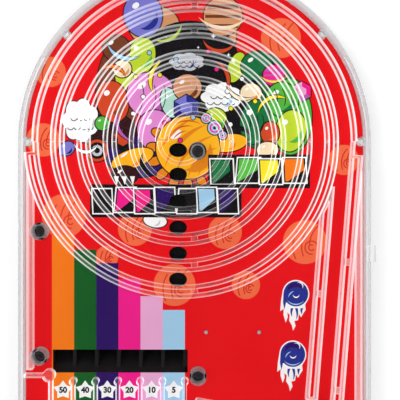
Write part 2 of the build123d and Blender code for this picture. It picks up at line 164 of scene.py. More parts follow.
class ShaderTree:
    """A material's node tree with one Principled surface."""

    def __init__(self, name: str) -> None:
        """Makes the material and finds its surface shader.

        Args:
            name: The material's name.
        """
        self.material = bpy.data.materials.new(name)
        self.material.use_nodes = True
        self.tree = self.material.node_tree
        self.surface = self.tree.nodes["Principled BSDF"]

    def node(
        self, kind: str, settings: dict | None = None, inputs: list | dict | None = None,
        output: str | int = 0,
    ) -> Value:
        """Adds one node.

        Args:
            kind: The node's type name.
            settings: Properties to set on it before its inputs.
            inputs: Values or links for its inputs, in order or by name.
            output: The output to return.

        Returns:
            The chosen output as a Value.
        """
        made = self.tree.nodes.new(kind)
        for key, setting in (settings or {}).items():
            setattr(made, key, setting)
        pairs = inputs.items() if isinstance(inputs, dict) else enumerate(inputs or [])
        for key, value in pairs:
            self.feed(made.inputs[key], value)
        return Value(self, made.outputs[output])

    def feed(self, socket: bpy.types.NodeSocket, value: "Value | float | tuple") -> None:
        """Links a Value to a socket, or sets the socket's own number or colour.

        Args:
            socket: The input to feed.
            value: What it gets.
        """
        if isinstance(value, Value):
            self.tree.links.new(value.socket, socket)
        elif socket.type == "RGBA" and len(value) == 3:
            socket.default_value = (*value, 1.0)
        else:
            socket.default_value = value

    def set(self, **values: "Value | float | tuple") -> None:
        """Sets the surface's inputs by name, with underscores for spaces."""
        for key, value in values.items():
            self.feed(self.surface.inputs[key.replace("_", " ")], value)

    def place(self) -> Value:
        """The point on the piece, in metres."""
        return self.node("ShaderNodeTexCoord", output="Object")

    def noise(self, scale: float, detail: float = 3.0, stretch: Triple = (1, 1, 1)) -> Value:
        """Soft noise.

        Args:
            scale: Lumps per metre.
            detail: How much finer noise is laid over them.
            stretch: The lumps' rate along each axis, under 1 for longer ones.

        Returns:
            The noise, from 0 to 1.
        """
        spot = self.node("ShaderNodeMapping", {}, {"Vector": self.place(), "Scale": stretch})
        inputs = {"Vector": spot, "Scale": scale, "Detail": detail}
        return self.node("ShaderNodeTexNoise", {}, inputs)

    def blend(self, share: "Number", first: Colour, second: Colour) -> Value:
        """A mix of two colours.

        Args:
            share: How much of the second colour there is.
            first, second: The two colours.

        Returns:
            The mixed colour.
        """
        factor, first_colour, second_colour, mixed_colour = 0, 6, 7, 2
        inputs = {factor: share, first_colour: first, second_colour: second}
        return self.node("ShaderNodeMix", {"data_type": "RGBA"}, inputs, mixed_colour)

    def bump(self, height: Value, strength: float, distance: float) -> Value:
        """A bumped normal from a height."""
        inputs = {"Strength": strength, "Distance": distance, "Height": height}
        return self.node("ShaderNodeBump", {}, inputs, output="Normal")

    def facing(self, blend: float) -> Value:
        """0 where the surface faces the eye, rising to 1 at a glancing angle."""
        return self.node("ShaderNodeLayerWeight", {}, {"Blend": blend}, "Facing")


@dataclass(frozen=True)
class ClearPlastic:
    """Polished clear styrene: nearly gone face on and whiter where it is seen edge on. Its
    emission is a painted glow that stands in for light piped along the edges, and faces turned
    left or right get painted side light.
    """

    name: str
    body: float
    edge: float
    curve: float = 2.0
    haze: float = 0.004
    # Emission strength of a painted glow, standing in for light piped along the clear edges.
    painted_glow: float = 0.3
    # Share of the painted side light kept by faces not turned left or right.
    dim: float = 1.0
    tint: Colour = (0.96, 0.97, 0.98)
    shade: Colour = (0.84, 0.87, 0.90)
    roughness: float = 0.06
    roughness_swing: float = 0.05
    refraction: float = 1.49
    flow_scale: float = 90.0
    flow_stretch: Triple = (1.0, 0.25, 1.0)
    flow_strength: float = 0.12
    flow_depth: float = 0.0004
    haze_scale: float = 420.0
    haze_stretch: Triple = (1.0, 0.05, 0.05)

    def make(self) -> bpy.types.Material:
        """Builds the material.

        Returns:
            The material.
        """
        tree = ShaderTree(self.name)
        flow = tree.noise(self.flow_scale, 2.0, self.flow_stretch)
        rim = tree.facing(0.5) ** self.curve
        haze = tree.noise(self.haze_scale, 3.0, self.haze_stretch) * self.haze
        # Painted side light: faces turned left or right, towards the side lights, get more edge
        # opacity and a brighter painted glow.
        normal = tree.node("ShaderNodeNewGeometry", output="Normal")
        side = tree.node("ShaderNodeSeparateXYZ", {}, [normal], output="X").absolute()
        lit = (side * (1.0 - self.dim) + self.dim).clamped()
        tree.set(
            Base_Color=tree.blend(flow, self.tint, self.shade),
            Roughness=flow * self.roughness_swing + self.roughness,
            IOR=self.refraction,
            Alpha=(rim * lit * self.edge + haze + self.body).clamped(),
            Normal=tree.bump(flow, self.flow_strength, self.flow_depth),
            # The emission is a painted glow, greyer on faces that get less painted side light.
            Emission_Color=tree.blend(lit, (0.0, 0.0, 0.0), (1.0, 1.0, 1.0)),
            Emission_Strength=self.painted_glow,
        )
        return tree.material


@dataclass(frozen=True)
class Opaque:
    """An opaque finish: two tones clouded together under a fine grain."""

    name: str
    first: Colour
    second: Colour
    cloud_scale: float
    grain_scale: float
    lowest_roughness: float
    roughness_swing: float
    grain_strength: float
    grain_depth: float
    cloud_detail: float = 3.0
    grain_detail: float = 4.0
    grain_stretch: Triple = (1.0, 1.0, 1.0)
    metallic: float = 0.0
    refraction: float = 1.5
    gloss: float = 0.5
    coat: float = 0.0

    def make(self) -> bpy.types.Material:
        """Builds the material.

        Returns:
            The material.
        """
        tree = ShaderTree(self.name)
        grain = tree.noise(self.grain_scale, self.grain_detail, self.grain_stretch)
        cloud = tree.noise(self.cloud_scale, self.cloud_detail)
        tree.set(
            Base_Color=tree.blend(cloud, self.first, self.second),
            Metallic=self.metallic,
            Roughness=grain * self.roughness_swing + self.lowest_roughness,
            IOR=self.refraction,
            Specular_IOR_Level=self.gloss,
            Coat_Weight=self.coat,
            Normal=tree.bump(grain, self.grain_strength, self.grain_depth),
        )
        return tree.material


def moulded(name: str, colour: Colour, roughness: float, **changes: float) -> Opaque:
    """Moulded plastic with a faint grain."""
    darker = tuple(c * 0.82 for c in colour)
    return Opaque(
        name, colour, darker, cloud_scale=60.0, grain_scale=1800.0,
        lowest_roughness=roughness - 0.08, roughness_swing=0.16,
        grain_strength=0.18, grain_depth=0.00004, cloud_detail=2.0, **changes,
    )


def metal(name: str, colour: Colour, roughness: float, stretch: Triple = (1, 1, 1)) -> Opaque:
    """Bright steel with drawn or turned marks."""
    darker = tuple(c * 0.72 for c in colour)
    return Opaque(
        name, colour, darker, cloud_scale=260.0, grain_scale=2400.0,
        lowest_roughness=roughness - 0.06, roughness_swing=0.18,
        grain_strength=0.12, grain_depth=0.00003, grain_stretch=stretch, metallic=1.0,
    )


def printed(ink: Ink) -> Opaque:
    """Gloss-printed card in one ink, with slight mottle and a fine paper tooth."""
    darker = tuple(c * 0.93 for c in ink.value)
    lighter = tuple(min(1.0, c * 1.06 + 0.006) for c in ink.value)
    return Opaque(
        f"print_{ink.name.lower()}", darker, lighter, cloud_scale=35.0, grain_scale=2600.0,
        lowest_roughness=0.30, roughness_swing=0.14, grain_strength=0.10,
        grain_depth=0.00003, grain_detail=3.0, refraction=1.45, gloss=0.06,
    )


class Finishes:
    """Every finish of the game, each made once and handed out by name."""

    def __init__(self) -> None:
        """Starts with nothing made."""
        self._made: dict[str, bpy.types.Material] = {}
        self._recipes: dict[str, ClearPlastic | Opaque] = {
            "case": ClearPlastic(
                "clear_case", body=0.0, edge=0.9, curve=2.6, haze=0.002, painted_glow=0.0,
                tint=(0.78, 0.81, 0.83), shade=(0.60, 0.65, 0.69),
            ),
            # The track and wall carry a painted glow and painted side light on their edges,
            # standing in for light piped through and falling on the clear plastic.
            "track": ClearPlastic(
                "clear_track", body=0.02, edge=1.0, curve=2.1, haze=0.05, painted_glow=0.75, dim=0.42
            ),
            "wall": ClearPlastic(
                "clear_wall", body=0.08, edge=0.62, curve=2.0, haze=0.28, painted_glow=0.35, dim=0.8
            ),
            "black": moulded("black_moulding", linear(8, 6, 8), 0.45, gloss=0.2),
            "nylon": moulded("white_nylon", linear(232, 232, 226), 0.45),
            "knob": moulded("knob_plastic", linear(34, 66, 190), 0.22, coat=0.4),
            "ball": metal("ball_steel", (0.78, 0.79, 0.81), 0.10),
            # Painted shade: the screw steel is nearly black because the screw heads sit deep in
            # shadowed recesses.
            "screw": metal("screw_steel", (0.05, 0.05, 0.055), 0.42),
            "bright": metal("bright_steel", (0.66, 0.67, 0.69), 0.24, (1.0, 0.15, 1.0)),
            "spring": metal("spring_steel", (0.58, 0.59, 0.61), 0.28),
        }

    def __getitem__(self, name: str) -> bpy.types.Material:
        """Finds a finish, and makes it at its first use.

        Args:
            name: The finish's name.

        Returns:
            Its material.
        """
        if name not in self._made:
            self._made[name] = self._recipes[name].make()
        return self._made[name]

    def ink(self, ink: Ink) -> bpy.types.Material:
        """Finds the printed finish of an ink, and makes it at its first use.

        Args:
            ink: The ink.

        Returns:
            Its material.
        """
        if ink.name not in self._made:
            self._made[ink.name] = printed(ink).make()
        return self._made[ink.name]


def dress(node: str, material: bpy.types.Material) -> None:
    """Gives a CAD node's object one material.

    Args:
        node: The node's name.
        material: The material that it gets.
    """
    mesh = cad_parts[node].data
    mesh.materials.clear()
    mesh.materials.append(material)
    log.info("dressed %s with %s", node, material.name)


def new_piece(
    name: str, shape: bmesh.types.BMesh, materials: list[bpy.types.Material],
    body: str | None, smooth_below: float = 40.0,
) -> bpy.types.Object:
    """Turns a finished bmesh, in metres and in place, into a piece that rides on a body.

    Args:
        name: The piece's name.
        shape: The mesh, freed here.
        materials: Its material slots, in order.
        body: The body that it rides on, or None for a piece that spans two.
        smooth_below: Edges under this many degrees are shaded smooth.

    Returns:
        The new object.
    """
    mesh = bpy.data.meshes.new(name)
    shape.to_mesh(mesh)
    shape.free()
    for material in materials:
        mesh.materials.append(material)
    mesh.shade_smooth()
    mesh.set_sharp_from_angle(angle=math.radians(smooth_below))
    piece = bpy.data.objects.new(name, mesh)
    bpy.context.scene.collection.objects.link(piece)
    if body:
        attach(piece, body)
    log.info("made %s: %d faces", name, len(mesh.polygons))
    return piece


def cad_copy(node: str, same: float = SAME_CORNER) -> bmesh.types.BMesh:
    """Copies a CAD node's mesh and joins its split corners.

    Args:
        node: The node's name.
        same: Corners this close, in metres, become one.

    Returns:
        The copy.
    """
    shape = bmesh.new()
    shape.from_mesh(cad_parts[node].data)
    bmesh.ops.remove_doubles(shape, verts=shape.verts, dist=same)
    return shape


@dataclass
class RoundedMoulding:
    """A clear CAD part copied with its sharp edges rounded, as a moulding's are."""

    node: str
    radius: float = 0.22
    segments: int = 2
    sharp_above: float = 50.0
    flat_below: float = 1.0
    joint_gap: float = 0.02

    def weld(self, shape: bmesh.types.BMesh) -> None:
        """Takes out the end faces where two solids meet, and joins them into one skin.

        Args:
            shape: The mesh to weld.
        """
        ends: dict[tuple, list] = {}
        for face in shape.faces:
            spot = tuple(round(c / MM, 1) for c in face.calc_center_bounds())
            if len(face.verts) == 4 and abs(face.normal.y) > 0.99:
                ends.setdefault(spot, []).append(face)
        paired = [face for faces in ends.values() if len(faces) == 2 for face in faces]
        bmesh.ops.delete(shape, geom=paired, context="FACES_ONLY")
        bmesh.ops.remove_doubles(shape, verts=shape.verts, dist=self.joint_gap * MM)

    def build(self, finish: bpy.types.Material, slot: str) -> bpy.types.Object:
        """Copies, cleans and rounds the part, and hides the CAD part in its place.

        Args:
            finish: The copy's material.
            slot: Not used.

        Returns:
            The rounded piece.
        """
        shape = cad_copy(self.node)
        flat = math.radians(self.flat_below)
        bmesh.ops.dissolve_limit(shape, angle_limit=flat, verts=shape.verts, edges=shape.edges)
        self.weld(shape)
        sharp = [
            edge
            for edge in shape.edges
            if len(edge.link_faces) == 2
            and edge.calc_face_angle(0.0) > math.radians(self.sharp_above)
        ]
        bmesh.ops.bevel(
            shape, geom=sharp, offset=self.radius * MM, segments=self.segments, profile=0.5,
            affect="EDGES", clamp_overlap=False, material=-1,
        )
        piece = new_piece(f"{self.node}_rounded", shape, [finish], "case")
        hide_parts(self.node)
        return piece


# Outlines: each returns the points of a flat shape, in millimetres


def ellipse(
    x: float, y: float, rx: float, ry: float, turn: float = 0.0, points: int = 40
) -> Outline:
    """A turned ellipse.

    Args:
        x, y: Its middle.
        rx, ry: Half its width and height.
        turn: How far it is turned, in degrees.
        points: How many corners stand for it.

    Returns:
        Its outline.
    """
    cosine, sine = math.cos(math.radians(turn)), math.sin(math.radians(turn))
    outline = []
    for i in range(points):
        angle = 2 * math.pi * i / points
        u, v = rx * math.cos(angle), ry * math.sin(angle)
        outline.append((x + u * cosine - v * sine, y + u * sine + v * cosine))
    return outline


def band(
    x: float, y: float, radius: float, width: float, start: float, end: float,
    points: int = 16, taper: bool = False,
) -> Outline:
    """A curved band along an arc.

    Args:
        x, y: The arc's middle.
        radius: The arc's radius.
        width: The band's width.
        start, end: Where the arc starts and ends, in degrees.
        points: How many steps it has.
        taper: Whether it narrows to nearly nothing at both ends.

    Returns:
        Its outline.
    """
    thinnest = 0.04
    outer, inner = [], []
    for i in range(points + 1):
        share = i / points
        angle = math.radians(start + (end - start) * share)
        half = width / 2 * (max(thinnest, math.sin(math.pi * share)) if taper else 1.0)
        for side, reach in ((outer, radius + half), (inner, radius - half)):
            side.append((x + reach * math.cos(angle), y + reach * math.sin(angle)))
    return outer + inner[::-1]


def box(x0: float, x1: float, y0: float, y1: float, lean: float = 0.0) -> Outline:
    """A box, whose top may lean to the right."""
    return [(x0, y0), (x1, y0), (x1 + lean, y1), (x0 + lean, y1)]


def star(
    x: float, y: float, radius: float, inner: float = 0.5, arms: int = 5, turn: float = 90.0
) -> Outline:
    """A star.

    Args:
        x, y: Its middle.
        radius: The reach of its tips.
        inner: The reach of its notches, as a share of the tips'.
        arms: How many tips it has.
        turn: Where its first tip points, in degrees.

    Returns:
        Its outline.
    """
    outline = []
    for i in range(2 * arms):
        reach = radius if i % 2 == 0 else radius * inner
        angle = math.radians(turn + 180 * i / arms)
        outline.append((x + reach * math.cos(angle), y + reach * math.sin(angle)))
    return outline


def cloud(
    x: float, y: float, rx: float, ry: float, lobes: int = 7, points: int = 70
) -> Outline:
    """A cloud: an ellipse whose edge swells into lobes.

    Args:
        x, y: Its middle.
        rx, ry: About half its width and height.
        lobes: How many lobes it has.
        points: How many corners stand for it.

    Returns:
        Its outline.
    """
    notch, swelling = 0.86, 0.16
    outline = []
    for i in range(points):
        angle = 2 * math.pi * i / points
        swell = notch + swelling * abs(math.sin(lobes * angle / 2))
        outline.append((x + rx * swell * math.cos(angle), y + ry * swell * math.sin(angle)))
    return outline


def flame(
    x: float, y: float, width: float, length: float, sway: float, points: int = 12
) -> Outline:
    """A tongue of flame that hangs down and narrows to its tip.

    Args:
        x, y: The middle of its root.
        width: Its width at the root.
        length: Its length.
        sway: How far its middle bows to the right.
        points: How many steps it has.

    Returns:
        Its outline.
    """
    fullness = 0.7
    left, right = [], []
    for i in range(points + 1):
        share = i / points
        half = width / 2 * (1 - share) ** fullness
        middle = x + sway * math.sin(math.pi * share)
        left.append((middle - half, y - length * share))
        right.append((middle + half, y - length * share))
    return left + right[:-1][::-1]


class Artwork:
    """The printed picture, collected as shapes in painter's order."""

    def __init__(self) -> None:
        """Starts with a blank card."""
        self.shapes: list[tuple[Outline, Ink]] = []

    def add(self, outline: Outline, ink: Ink) -> None:
        """Lays one more shape over the others."""
        self.shapes.append((outline, ink))

    def oval(
        self, x: float, y: float, rx: float, ry: float, ink: Ink, turn: float = 0.0,
        points: int = 40, line: float = OUTLINE_WIDTH,
    ) -> None:
        """An ellipse with a black line round it.

        Args:
            x, y: Its middle.
            rx, ry: Half its width and height.
            ink: Its fill.
            turn: How far it is turned, in degrees.
            points: How many corners stand for it.
            line: The black line's width.
        """
        self.add(ellipse(x, y, rx + line, ry + line, turn, points), Ink.BLACK)
        self.add(ellipse(x, y, rx, ry, turn, points), ink)

    def balloon(
        self, x: float, y: float, rx: float, ry: float, ink: Ink, shade: Ink, turn: float = 0.0
    ) -> None:
        """A balloon with a shaded side and a highlight.

        Args:
            x, y: Its middle.
            rx, ry: Half its width and height.
            ink, shade: Its fill and its shaded side.
            turn: How far it is turned, in degrees.
        """
        self.oval(x, y, rx, ry, ink, turn)
        inner = 0.92 * min(rx, ry)
        self.add(band(x, y, inner * 0.78, inner * 0.34, -100, 10, taper=True), shade)
        self.add(ellipse(x - rx * 0.38, y + ry * 0.42, rx * 0.2, ry * 0.13, 35, 16), Ink.WHITE)

    def puff(self, x: float, y: float, rx: float, ry: float, ink: Ink, shade: Ink) -> None:
        """A cloud with scalloped folds and a shaded right side.

        Args:
            x, y: Its middle.
            rx, ry: About half its width and height.
            ink, shade: Its fill and its shaded side.
        """
        self.add(cloud(x, y, rx + OUTLINE_WIDTH, ry + OUTLINE_WIDTH), Ink.BLACK)
        self.add(cloud(x, y, rx, ry), ink)
        size = min(rx, ry)
        self.add(band(x, y, size * 0.72, size * 0.22, -75, 15, taper=True), shade)
        for row, count in ((-0.3, 4), (0.12, 3)):
            for i in range(count):
                across = (i - (count - 1) / 2) * 0.36
                fold = band(x + rx * across, y + ry * row, rx * 0.17, 0.35, 195, 345, 8)
                self.add(fold, Ink.BLACK)

    def planet(self, x: float, y: float, radius: float, ink: Ink, shade: Ink, ring: Ink) -> None:
        """A banded planet with a ring.

        Args:
            x, y: Its middle.
            radius: Its radius.
            ink, shade, ring: Its fill, its bands and its ring.
        """
        self.oval(x, y, radius, radius, ink)
        for i, width in enumerate((0.24, 0.16, 0.2)):
            centre_y = y + radius * (0.5 - 0.5 * i)
            reach = math.sqrt(max(0.01, radius**2 - (centre_y - y) ** 2)) * 0.93
            half = radius * width / 2
            self.add(box(x - reach, x + reach, centre_y - half, centre_y + half), shade)
        self.add(band(x, y + radius * 1.1, radius * 1.7, radius * 0.2, 222, 318, taper=True), ring)

    def gem(self, x: float, y: float, radius: float, ink: Ink, light: Ink, dark: Ink) -> None:
        """A cut gem of six facets.

        Args:
            x, y: Its middle.
            radius: The reach of its corners.
            ink, light, dark: Its plain, lit and shaded facets.
        """
        self.add(ellipse(x, y, radius + OUTLINE_WIDTH, radius + OUTLINE_WIDTH, 30, 6), Ink.BLACK)
        rim = ellipse(x, y, radius, radius, 30, 6)
        for i, tone in enumerate((ink, light, ink, dark, dark, ink)):
            self.add([(x, y), rim[i], rim[(i + 1) % 6]], tone)
        self.add(ellipse(x, y, radius * 0.5, radius * 0.5, 30, 6), light)

    def rings(self, x: float, y: float, radius: float, inks: tuple[Ink, ...]) -> None:
        """Rings one inside the other.

        Args:
            x, y: Their middle.
            radius: The outermost ring's radius.
            inks: Their inks, from the outside in.
        """
        self.add(ellipse(x, y, radius + 0.4, radius + 0.4, 0, 28), Ink.BLACK)
        for i, ink in enumerate(inks):
            size = radius * (1 - i / len(inks))
            self.add(ellipse(x, y, size, size, 0, 28), ink)


@dataclass
class CardArt:
    """Everything printed on the card, placed on the playfield in millimetres."""

    column_left: float = -56.5
    column_pitch: float = 8.783
    column_inks: tuple[Ink, ...] = (
        Ink.ORANGE, Ink.GREEN, Ink.NAVY, Ink.MAGENTA, Ink.PINK, Ink.SKY,
    )
    column_tops: tuple[float, ...] = (5.1, -0.6, -6, -12.3, -19.1, -24.6)
    column_bottom: float = -96.0
    star_y: float = -56.4
    star_radius: float = 3.9
    discs: tuple[tuple[float, float, float], ...] = (
        (-51.8, 12.6, 8.7), (-23.6, 7.5, 6.7), (12.1, 6.3, 6.7), (-7.9, -14.7, 8.3),
        (20.4, -14.7, 5.6), (43.8, 2.3, 8.7), (34.3, 83.2, 7.9), (-60, 42.8, 6.6),
        (59.2, 34.9, 6), (-57, 69.8, 6), (-34.7, -3.6, 4.5),
    )
    comets: tuple[Point, ...] = ((40.2, -18.2), (39, -42.2))
    backdrop: tuple[tuple[float, float, float, float, Ink], ...] = (
        (27, 58, 13, 19, Ink.GREEN), (38, 52, 8.5, 15, Ink.LEAF),
        (-31, 60, 8, 21, Ink.BROWN), (-33, 44, 10.5, 9.5, Ink.COAL),
        (-24, 70, 7.5, 12, Ink.LIME), (-16, 88, 10, 8, Ink.TAN),
        (10.5, 84, 6, 8, Ink.TAN), (-1.8, 74.2, 19, 15.5, Ink.BLACK),
        (-2, 54, 18, 17, Ink.BLACK), (14, 58, 12, 15, Ink.BLACK),
        (-22, 36, 13, 8, Ink.NAVY),
    )
    sparks: tuple[tuple[float, float, float], ...] = (
        (-11, 83, 0.9), (7.5, 84, 1.1), (-14, 74, 0.7), (13.5, 76.5, 0.8), (1.5, 79.5, 0.6),
    )
    sun_bands: tuple[tuple[float, float, float], ...] = (
        (13, 24, 1), (16.5, 30, 1.8), (21.5, 30, 1.4), (26.5, 26, 2), (31, 18, 1.2),
    )
    streaked: tuple[tuple[float, float, float, float, float], ...] = (
        (-17.2, 60.6, 9.6, 9, -12), (34.8, 58.8, 6.4, 6.8, 16), (24, 50, 5.8, 8.8, -8),
    )
    art: Artwork = field(default_factory=Artwork)

    def draw(self) -> Artwork:
        """Draws the whole card in painter's order.

        Returns:
            The finished artwork.
        """
        self.draw_discs()
        self.draw_columns()
        self.draw_fair()
        self.draw_banner()
        for spot in self.comets:
            self.draw_comet(*spot)
        return self.art

    def draw_discs(self) -> None:
        """Pale orange discs with curved lines, as on a striped play ball."""
        for x, y, radius in self.discs:
            self.art.add(ellipse(x, y, radius, radius), Ink.DISC)
            for shift, low, high in ((-0.55, 146, 206), (-0.15, 134, 200), (0.2, 128, 176)):
                centre_x = x + radius * (shift + 1.3)
                line = band(centre_x, y - radius * 0.2, radius * 1.3, 0.45, low, high)
                self.art.add(line, Ink.DISC_LINE)
            for reach, start, end in ((0.3, 30, 280), (0.13, 60, 330)):
                curl_x, curl_y = x + radius * 0.3, y - radius * 0.25
                curl = band(curl_x, curl_y, radius * reach, 0.45, start, end, 20)
                self.art.add(curl, Ink.DISC_LINE)

    def draw_columns(self) -> None:
        """The six score columns, each with its star."""
        for i, (ink, top) in enumerate(zip(self.column_inks, self.column_tops)):
            left = self.column_left + i * self.column_pitch
            self.art.add(box(left, left + self.column_pitch, self.column_bottom, top), ink)
            x = left + self.column_pitch / 2
            self.art.add(star(x, self.star_y, self.star_radius, 0.62), Ink.WHITE)

    def draw_fair(self) -> None:
        """The middle picture: balloons, clouds, gems and planets round a sun."""
        art = self.art
        balloon, puff, planet, gem = art.balloon, art.puff, art.planet, art.gem
        for x, y, rx, ry, ink in self.backdrop:
            art.oval(x, y, rx, ry, ink)
        for x, y, size in self.sparks:
            art.add(star(x, y, size, 0.4, 4), Ink.WHITE)
        balloon(-20.4, 92.4, 7.6, 8.8, Ink.VIOLET, Ink.ROYAL, 10)
        balloon(-21, 76, 5.4, 7.4, Ink.LIME, Ink.LEAF, -14)
        planet(11.3, 91.8, 7.6, Ink.TAN, Ink.BROWN, Ink.CREAM)
        balloon(-31, 79.2, 5.4, 5, Ink.BROWN, Ink.COAL)
        balloon(-28.6, 71, 3.6, 3.4, Ink.CREAM, Ink.TAN)
        balloon(-32.4, 58, 6.2, 8.2, Ink.BRICK, Ink.BROWN, 12)
        puff(-45.2, 50.6, 7.2, 8.6, Ink.WHITE, Ink.GREY)
        balloon(-50.6, 39.4, 3.2, 2.6, Ink.VIOLET, Ink.NAVY, 30)
        balloon(-17.2, 60.6, 9.6, 9, Ink.ROSE, Ink.PLUM, -12)
        balloon(-15.4, 46.6, 7.2, 8, Ink.ROSE, Ink.PLUM, 8)
        balloon(-36.6, 49.4, 2.7, 2.7, Ink.LEAF, Ink.FOREST)
        art.rings(-38.6, 38.6, 4.4, (Ink.BRICK, Ink.BLACK, Ink.GREY, Ink.BLACK))
        gem(-28.4, 42.6, 4.4, Ink.COAL, Ink.BRICK, Ink.BLACK)
        balloon(-9.8, 57.6, 3.4, 6, Ink.MINT, Ink.GREY, 14)
        balloon(-2.8, 63.6, 5.6, 5.2, Ink.TAN, Ink.BROWN)
        puff(-3, 73.8, 7, 3.6, Ink.GREY, Ink.ROYAL)
        gem(-3.2, 55.4, 5.4, Ink.ROYAL, Ink.VIOLET, Ink.NAVY)
        puff(10.6, 59.8, 8, 5.8, Ink.WHITE, Ink.SKY)
        balloon(8.2, 50.8, 4.6, 4.6, Ink.LIME, Ink.LEAF)
        balloon(16.6, 71.6, 3.2, 6.2, Ink.LIME, Ink.YELLOW, -20)
        balloon(24.6, 72.2, 6.2, 5.6, Ink.FOREST, Ink.GREEN, 20)
        planet(31.4, 68.4, 4.2, Ink.MAGENTA, Ink.PLUM, Ink.YELLOW)
        gem(42.6, 62, 4, Ink.MAGENTA, Ink.PINK, Ink.PLUM)
        balloon(22.4, 61.4, 4.2, 3.8, Ink.CREAM, Ink.AMBER)
        balloon(15.8, 46.2, 4, 6.6, Ink.BLACK, Ink.COAL)
        balloon(24, 50, 5.8, 8.8, Ink.FOREST, Ink.GREEN, -8)
        balloon(34.8, 58.8, 6.4, 6.8, Ink.LEAF, Ink.FOREST, 16)
        balloon(38.2, 46.4, 6, 8.2, Ink.LIME, Ink.LEAF, -10)
        balloon(30, 45.6, 3.6, 4.4, Ink.BRICK, Ink.AMBER)
        balloon(29, 38.8, 4.2, 3.2, Ink.CREAM, Ink.TAN)
        for i in range(11):
            angle = math.radians(150 + i * 24)
            x, y = -2.6 + 13.6 * math.cos(angle), 38.6 + 13.6 * math.sin(angle)
            art.oval(x, y, 2.8, 1.7, Ink.AMBER, math.degrees(angle), 14)
        balloon(-24.6, 35.4, 8.6, 3.6, Ink.SUN, Ink.AMBER, 18)
        balloon(13.6, 41.6, 7.4, 3.4, Ink.SUN, Ink.AMBER, 8)
        balloon(-2.6, 39.8, 12.6, 12.4, Ink.SUN, Ink.AMBER)
        for reach, half, width in self.sun_bands:
            tilt = 135
            line = band(13.4, 23.8, reach, width, tilt - half, tilt + half, 24, taper=True)
            art.add(line, Ink.AMBER)
        self.draw_trimmings()
        for reach, start in ((10.6, 60), (8.6, 75), (6.6, 90)):
            art.add(band(-2.6, 39.8, reach, 0.55, start, start + 62, taper=True), Ink.BRICK)
        for x, y, size in ((8, 47.6, 2.7), (4.6, 51.4, 1.9), (11.2, 44.6, 1.6)):
            art.rings(x, y, size, (Ink.SKY, Ink.MAGENTA, Ink.SKY, Ink.NAVY))
        balloon(-27.6, 28.8, 5.2, 3.6, Ink.COAL, Ink.BLACK)
        for x in (-31, -27.8, -24.6):
            art.add([(x - 1, 28.4), (x + 1, 28.4), (x + 0.2, 24.8)], Ink.WHITE)
        balloon(-15.6, 10.8, 4.6, 2.6, Ink.WHITE, Ink.GREY, -8)

    def draw_trimmings(self) -> None:
        """Ribbons, stripes and dots that fill in between the balloons."""
        art = self.art
        ribbons = (
            (-26, 84, 9, 1.6, 200, 300, Ink.SKY),
            (-13, 90, 8, 1.4, 250, 350, Ink.LIME),
            (-8, 66, 9.5, 1.5, 120, 210, Ink.YELLOW),
            (5, 66, 8.5, 1.5, -30, 70, Ink.BRICK),
            (-22, 51, 9, 1.3, 150, 260, Ink.PLUM),
            (20, 66, 7, 1.4, 190, 300, Ink.CREAM),
            (33, 52, 8, 1.4, 60, 170, Ink.YELLOW),
            (-33, 66, 6, 1.4, 20, 130, Ink.ORANGE),
            (17, 41, 6.5, 1.2, 30, 130, Ink.BLACK),
            (-14, 35, 7, 1.2, 160, 250, Ink.BLACK),
            (10, 85, 7, 1.6, 200, 330, Ink.BRICK),
            (-43, 43, 5, 1.2, 200, 340, Ink.WHITE),
        )
        for x, y, radius, width, start, end, ink in ribbons:
            art.add(band(x, y, radius, width + 0.8, start - 3, end + 3, 20, taper=True), Ink.BLACK)
            art.add(band(x, y, radius, width, start, end, 20, taper=True), ink)
        for x, y, rx, ry, turn in self.streaked:
            for share in (-0.4, 0.1, 0.5):
                low, high = -26 + turn / 2, 26 + turn / 2
                art.add(band(x + rx * (share - 1.1), y, rx * 1.2, 0.35, low, high), Ink.BLACK)
        for i in range(16):
            angle = i * 2.4
            x = -2 + (15 + 0.9 * i) * math.cos(angle)
            y = 62 + (9 + 0.7 * i) * math.sin(angle)
            ink = (Ink.WHITE, Ink.YELLOW, Ink.SKY, Ink.MAGENTA)[i % 4]
            art.oval(x, y, 0.8, 0.8, ink, 0, 12, 0.3)

    def draw_banner(self) -> None:
        """Two rows of coloured blocks on a black shadow, with no lettering."""
        upper_inks = (Ink.FOREST, Ink.LEAF, Ink.YELLOW, Ink.ORANGE)
        lower_inks = (
            Ink.BLACK, Ink.MAGENTA, Ink.MAGENTA, Ink.NAVY, Ink.BLACK, Ink.SKY, Ink.NAVY,
        )
        rows = (
            (6.6, 25.4, 11.2, 9.6, upper_inks),
            (-40.2, 13.8, 11, 8.3, lower_inks),
        )
        for left, bottom, height, step, inks in rows:
            right = left + step * len(inks)
            shadow = box(left - 1.2, right + 0.8, bottom - 1.7, bottom + height + 0.4)
            self.art.add(shadow, Ink.BLACK)
            for i, ink in enumerate(inks):
                x = left + i * step
                low = bottom + 0.5 * (i % 2)
                high = low + height - 1.5
                lean = 0.9 if i % 3 == 1 else -0.5
                rim = box(x - 0.3, x + step - 0.1, low - 0.5, high + 0.5, lean)
                self.art.add(rim, Ink.WHITE)
                self.art.add(box(x + 0.2, x + step - 0.6, low, high, lean), Ink.BLACK)
                near, far = x + 0.7, x + step - (1.3 if i % 2 else 1.9)
                self.art.add(box(near, far, low + 0.5, high - 0.4, lean), ink)
                middle = low + height * 0.45
                fold = [(far, low + 0.5), (far + lean * 0.5, middle), (near + 1, low + 0.5)]
                self.art.add(fold, Ink.BLACK)

